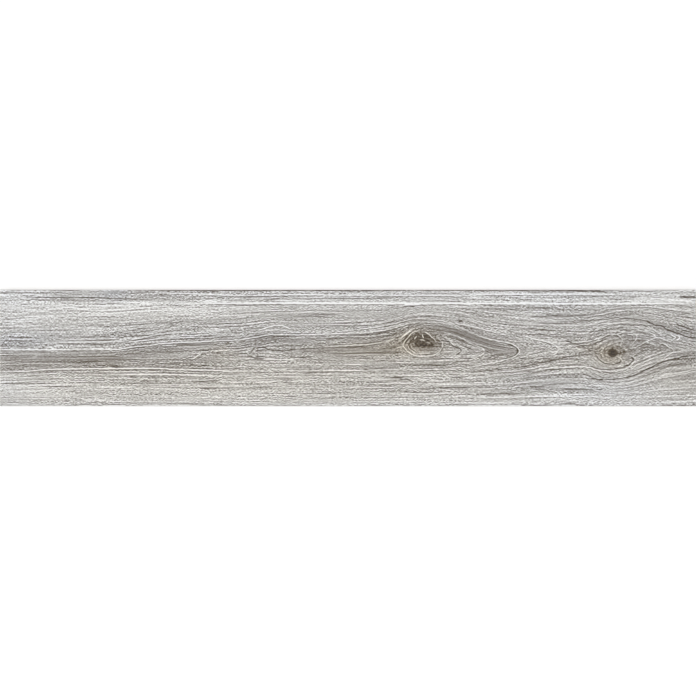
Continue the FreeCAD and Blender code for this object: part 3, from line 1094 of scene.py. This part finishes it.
def makeGlazedFace():
    material, tree, shader = newMaterial("oakPrintGlaze")
    rings = addNode(tree, "ShaderNodeAttribute", attribute_name="ringFlow").outputs["Vector"]
    flow = addNode(tree, "ShaderNodeAttribute", attribute_name="fibreFlow").outputs["Vector"]
    printTone = addNode(tree, "ShaderNodeAttribute", attribute_name="printTone").outputs["Fac"]
    warmth = addNode(tree, "ShaderNodeAttribute", attribute_name="printWarmth").outputs["Fac"]
    darkAndShade = addNode(tree, "ShaderNodeAttribute", attribute_name="darkLines").outputs["Vector"]
    pale = addNode(tree, "ShaderNodeAttribute", attribute_name="paleLines").outputs["Vector"]
    calm = addNode(tree, "ShaderNodeAttribute", attribute_name="printCalm").outputs["Fac"]
    parts = addNode(tree, "ShaderNodeSeparateXYZ", {0: flow}).outputs
    flow = addNode(tree, "ShaderNodeCombineXYZ", {0: parts[0], 1: parts[1]}).outputs[0]
    away = calc(tree, "SUBTRACT", 1.0, parts[2])  # 1 away from the knots, 0 in them
    lines = None
    for length, amount, seed in ((1.5, ink["pores"], 2), (5.0, ink["dashes"], 5),
                                 (16.0, ink["fineLines"], 9)):
        noise = calc(tree, "SUBTRACT", streaks(tree, flow, length, 3.6, seed), 0.5)
        if lines is None:
            lines = calc(tree, "MULTIPLY", noise, amount)
        else:
            lines = calc(tree, "MULTIPLY_ADD", noise, amount, lines)
    carrier = lineCarrier(tree, flow, 0.43, 5.2, 31)
    # The cube leaves thin lines with calm wood between them
    lines = calc(tree, "MULTIPLY", lines, calc(tree, "MULTIPLY", calc(tree, "POWER", carrier, 2.0),
                                               carrier))
    patches = addNode(tree, "ShaderNodeMapRange", {
        "Value": streaks(tree, flow, 40.0, 9.0, 51), "From Min": 0.35, "From Max": 0.65,
        "To Min": 0.75, "To Max": 1.2,
    }).outputs[0]
    patches = calc(tree, "MULTIPLY", patches, calm)
    lines = calc(tree, "MULTIPLY", lines, patches)
    longNoise = calc(tree, "SUBTRACT", streaks(tree, flow, 90.0, 3.6, 14), 0.5)
    longLines = calc(tree, "MULTIPLY", longNoise, lineCarrier(tree, flow, 0.33, 5.0, 32))
    lines = calc(tree, "MULTIPLY_ADD", longLines, ink["longLines"], lines)
    lines = calc(tree, "MULTIPLY", lines, calc(tree, "MULTIPLY_ADD", away, 0.65, 0.35))
    ringNoise = calc(tree, "SUBTRACT", streaks(tree, rings, 80.0, 3.0, 21), 0.5)
    ringLines = calc(tree, "MULTIPLY", ringNoise, lineCarrier(tree, rings, 0.34, 5.0, 33))
    ringShare = calc(tree, "MULTIPLY_ADD", parts[2], ink["knotLines"], ink["ringLines"])
    lines = calc(tree, "MULTIPLY_ADD", ringLines, calc(tree, "MULTIPLY", ringShare, calm), lines)
    for seed, amount in ((41, ink["thinLines"]), (43, -ink["thinLines"])):
        crossing = addNode(tree, "ShaderNodeMapRange", {
            "Value": streaks(tree, flow, 260.0, 9.0, seed), "From Min": 0.46, "From Max": 0.5,
        }).outputs[0]
        thin = calc(tree, "PINGPONG", calc(tree, "MULTIPLY", crossing, 2.0), 1.0)
        shown = addNode(tree, "ShaderNodeMapRange", {
            "Value": streaks(tree, flow, 50.0, 6.0, seed + 1), "From Min": 0.42, "From Max": 0.6,
        }).outputs[0]
        lines = calc(tree, "MULTIPLY_ADD", calc(tree, "MULTIPLY", thin, shown), amount, lines)
    broad = calc(tree, "SUBTRACT", streaks(tree, rings, 90.0, 5.0, 3, 1.0), 0.5)
    speckle = calc(tree, "SUBTRACT", streaks(tree, flow, 1.8, 1.4, 12, 2.0, 0.0), 0.5)
    speckle = calc(tree, "MULTIPLY", speckle, patches)
    tone = calc(tree, "ADD", printTone, lines)
    for layer, amount in ((broad, ink["broadLines"]), (speckle, ink["speckle"])):
        tone = calc(tree, "MULTIPLY_ADD", layer, amount, tone)
    # Drawn lines break into dashes with the fine streaks
    breaks = addNode(tree, "ShaderNodeMapRange", {
        "Value": lines, "From Min": -0.1, "From Max": 0.1, "To Min": 1.1, "To Max": 0.8,
    }).outputs[0]
    # The dark marks hold the print's dark lines and the painted shadows below its pale lines, and both take the dark
    # tone here
    for mark, share, target, least, seed in ((darkAndShade, ink["darkLine"], ink["darkTone"], 0.55, 61),
                                             (pale, ink["paleLine"], ink["paleTone"], 0.75, 62)):
        pressure = addNode(tree, "ShaderNodeMapRange", {
            "Value": streaks(tree, flow, 14.0, 9.0, seed), "From Min": 0.35, "From Max": 0.6,
            "To Min": share * least, "To Max": share,
        }).outputs[0]
        beads = addNode(tree, "ShaderNodeMapRange", {
            "Value": streaks(tree, flow, 3.5, 2.5, seed + 8), "From Min": 0.3, "From Max": 0.7,
            "To Min": 0.6, "To Max": 1.2,
        }).outputs[0]
        cover = calc(tree, "MULTIPLY", calc(tree, "MULTIPLY", lineMark(tree, mark), pressure),
                     calc(tree, "MULTIPLY", breaks, beads), clamp=True)
        tone = addNode(tree, "ShaderNodeMix", {0: cover, 2: tone, 3: target}).outputs[0]
    ramp = addNode(tree, "ShaderNodeValToRGB", {"Fac": tone})
    stops = [(place / 255, tuple(c * ink["exposure"] for c in toLinear(color)))
             for place, color in ink["tones"]]
    fillRamp(ramp.color_ramp, stops)
    tint = addNode(tree, "ShaderNodeVectorMath", {
        0: warmth, 1: ink["warm"], 2: (1, 1, 1),
    }, operation="MULTIPLY_ADD").outputs[0]
    warmed = addNode(tree, "ShaderNodeVectorMath", {
        0: ramp.outputs[0], 1: tint,
    }, operation="MULTIPLY").outputs[0]
    tree.links.new(warmed, shader.inputs["Base Color"])
    shader.inputs["Specular IOR Level"].default_value = 0.3
    rough = addNode(tree, "ShaderNodeMapRange", {
        "Value": lines, "From Min": -0.1, "From Max": 0.1, "To Min": 0.58, "To Max": 0.46,
    }).outputs[0]
    tree.links.new(rough, shader.inputs["Roughness"])
    bump = addNode(tree, "ShaderNodeBump", {
        "Strength": 0.35, "Distance": 0.0002, "Height": lines,
    })
    tree.links.new(bump.outputs[0], shader.inputs["Normal"])
    return material


def makeBodyGrit():
    # Speckle and grit of the fired body, which its edges and its back share
    group = bpy.data.node_groups.new("firedBodyGrit", "ShaderNodeTree")
    face = group.interface
    face.new_socket("Place", in_out="INPUT", socket_type="NodeSocketVector")
    face.new_socket("Light Body", in_out="INPUT", socket_type="NodeSocketColor")
    face.new_socket("Dark Body", in_out="INPUT", socket_type="NodeSocketColor")
    face.new_socket("Color", in_out="OUTPUT", socket_type="NodeSocketColor")
    face.new_socket("Grit", in_out="OUTPUT", socket_type="NodeSocketFloat")
    start = addNode(group, "NodeGroupInput")
    end = addNode(group, "NodeGroupOutput")
    cloud = addNode(group, "ShaderNodeTexNoise", {
        "Vector": start.outputs[0], "Scale": 60.0, "Detail": 3.0,
    }).outputs[0]
    grit = addNode(group, "ShaderNodeTexNoise", {
        "Vector": start.outputs[0], "Scale": 1400.0, "Detail": 2.0,
    }).outputs[0]
    blend = calc(group, "MULTIPLY_ADD", grit, 0.7, calc(group, "MULTIPLY", cloud, 0.5))
    mixed = addNode(group, "ShaderNodeMix", {
        "Factor": blend, 6: start.outputs[1], 7: start.outputs[2],
    }, data_type="RGBA").outputs[2]
    group.links.new(mixed, end.inputs[0])
    group.links.new(grit, end.inputs[1])
    return group


def placeGrit(tree, group, place, light, darker):
    node = addNode(tree, "ShaderNodeGroup")
    node.node_tree = group
    tree.links.new(place, node.inputs[0])
    node.inputs[1].default_value = (*toLinear(light), 1)
    node.inputs[2].default_value = (*toLinear(darker), 1)
    return node


def makeGroundEdge(grit):
    material, tree, shader = newMaterial("groundPorcelainEdge")
    place = addNode(tree, "ShaderNodeTexCoord").outputs["Object"]
    body = placeGrit(tree, grit, place, (196, 190, 181), (172, 165, 155))
    height = addNode(tree, "ShaderNodeSeparateXYZ", {0: place}).outputs[2]
    # The glaze and its white ground show as a thin line over the body
    glaze = addNode(tree, "ShaderNodeMapRange", {
        "Value": height, "From Min": 0.00915, "From Max": 0.0094,
    }).outputs[0]
    lined = addNode(tree, "ShaderNodeMix", {
        "Factor": glaze, 6: body.outputs[0], 7: (*toLinear((222, 219, 213)), 1),
    }, data_type="RGBA").outputs[2]
    tree.links.new(lined, shader.inputs["Base Color"])
    marks = addNode(tree, "ShaderNodeMapping", {"Vector": place, "Scale": (900, 900, 25)})
    scratches = addNode(tree, "ShaderNodeTexNoise", {
        "Vector": marks.outputs[0], "Scale": 1.0, "Detail": 2.0,
    }).outputs[0]
    rough = addNode(tree, "ShaderNodeMapRange", {
        "Value": scratches, "To Min": 0.45, "To Max": 0.7,
    }).outputs[0]
    tree.links.new(rough, shader.inputs["Roughness"])
    bump = addNode(tree, "ShaderNodeBump", {
        "Strength": 0.4, "Distance": 0.0001, "Height": scratches,
    })
    tree.links.new(bump.outputs[0], shader.inputs["Normal"])
    return material


def makeFiredBack(grit):
    material, tree, shader = newMaterial("firedPorcelainBack")
    place = addNode(tree, "ShaderNodeTexCoord").outputs["Object"]
    body = placeGrit(tree, grit, place, (190, 181, 168), (166, 156, 142))
    height = addNode(tree, "ShaderNodeSeparateXYZ", {0: place}).outputs[2]
    # Kiln wash: a chalky film that stays on the rib tops
    tops = addNode(tree, "ShaderNodeMapRange", {
        "Value": height, "From Min": 0.0004, "From Max": 0.0,
    }).outputs[0]
    patches = addNode(tree, "ShaderNodeTexNoise", {
        "Vector": place, "Scale": 90.0, "Detail": 4.0,
    }).outputs[0]
    wash = calc(tree, "MULTIPLY", tops, calc(tree, "MULTIPLY_ADD", patches, 2.4, -0.75,
                                            clamp=True))
    washed = addNode(tree, "ShaderNodeMix", {
        "Factor": wash, 6: body.outputs[0], 7: (*toLinear((226, 222, 214)), 1),
    }, data_type="RGBA").outputs[2]
    tree.links.new(washed, shader.inputs["Base Color"])
    rough = addNode(tree, "ShaderNodeMapRange", {
        "Value": wash, "To Min": 0.62, "To Max": 0.85,
    }).outputs[0]
    tree.links.new(rough, shader.inputs["Roughness"])
    bump = addNode(tree, "ShaderNodeBump", {
        "Strength": 0.5, "Distance": 0.0002, "Height": body.outputs[1],
    })
    tree.links.new(bump.outputs[0], shader.inputs["Normal"])
    return material


def dressTile(piece):
    grit = makeBodyGrit()
    for material in (makeGlazedFace(), makeGroundEdge(grit), makeFiredBack(grit)):
        piece.data.materials.append(material)
    mesh = piece.data
    normals = np.empty(len(mesh.polygons) * 3)
    mesh.polygons.foreach_get("normal", normals)
    upward = normals.reshape(-1, 3)[:, 2]
    centres = np.empty(len(mesh.polygons) * 3)
    mesh.polygons.foreach_get("center", centres)
    height = centres.reshape(-1, 3)[:, 2]
    slots = np.where(upward > 0.3, 0, 1)
    slots[height < 0.002] = 2
    mesh.polygons.foreach_set("material_index", slots.astype(np.int32))
    mesh.update()


# The studio: a white floor, an even light from above and a far camera straight over the face
studio = {
    "floorSize": 14.0,
    "floorTone": 0.95,
    "skyStrength": 0.386,
    "boxPower": 557.0,
    "boxSize": 5.0,
    "boxHeight": 9.0,
    "sidePower": 38.5,
    "sideSize": 3.0,
    "sidePlace": (-2.6, -2.2, 3.0),
    "lens": 200.0,
    "sensor": 36.0,
}


def makeStudio():
    deselectAll()
    bpy.ops.mesh.primitive_plane_add(size=studio["floorSize"], location=(0, 0, -0.0002))
    floor = bpy.context.object
    floor.name = "studioFloor"
    material, tree, shader = newMaterial("studioWhite")
    tone = studio["floorTone"]
    shader.inputs["Base Color"].default_value = (tone, tone, tone, 1)
    shader.inputs["Roughness"].default_value = 0.9
    shader.inputs["Specular IOR Level"].default_value = 0.1
    floor.data.materials.append(material)
    world = bpy.data.worlds.new("studioSky")
    world.use_nodes = True
    world.node_tree.nodes["Background"].inputs[0].default_value = (1, 1, 1, 1)
    world.node_tree.nodes["Background"].inputs[1].default_value = studio["skyStrength"]
    bpy.context.scene.world = world
    addBox("studioTop", (0, 0, studio["boxHeight"]), studio["boxSize"], studio["boxPower"])
    addBox("studioSide", studio["sidePlace"], studio["sideSize"], studio["sidePower"])
    bpy.context.scene.view_settings.view_transform = "Standard"


def addBox(name, place, size, power):
    light = bpy.data.lights.new(name, "AREA")
    light.shape = "SQUARE"
    light.size = size
    light.energy = power
    lamp = bpy.data.objects.new(name, light)
    bpy.context.scene.collection.objects.link(lamp)
    lamp.location = place
    away = math.hypot(place[0], place[1])
    lamp.rotation_euler = (math.atan2(away, place[2]) if away else 0, 0,
                           math.atan2(place[1], place[0]) + math.pi / 2 if away else 0)


def makeCamera():
    data = bpy.data.cameras.new("photoCamera")
    data.lens = studio["lens"]
    data.sensor_width = studio["sensor"]
    data.clip_end = 200
    camera = bpy.data.objects.new("photoCamera", data)
    bpy.context.scene.collection.objects.link(camera)
    # The tile's length fills the picture's width at the height of the face
    away = tile["length"] * studio["lens"] / studio["sensor"]
    camera.location = (0, 0, tile["thickness"] + away)
    bpy.context.scene.camera = camera


plank = makeTile()
dressTile(plank)
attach(plank, "root")
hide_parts("plank_tile")
print("tile dressed, faces", len(plank.data.polygons))
makeStudio()
makeCamera()
print("studio set")
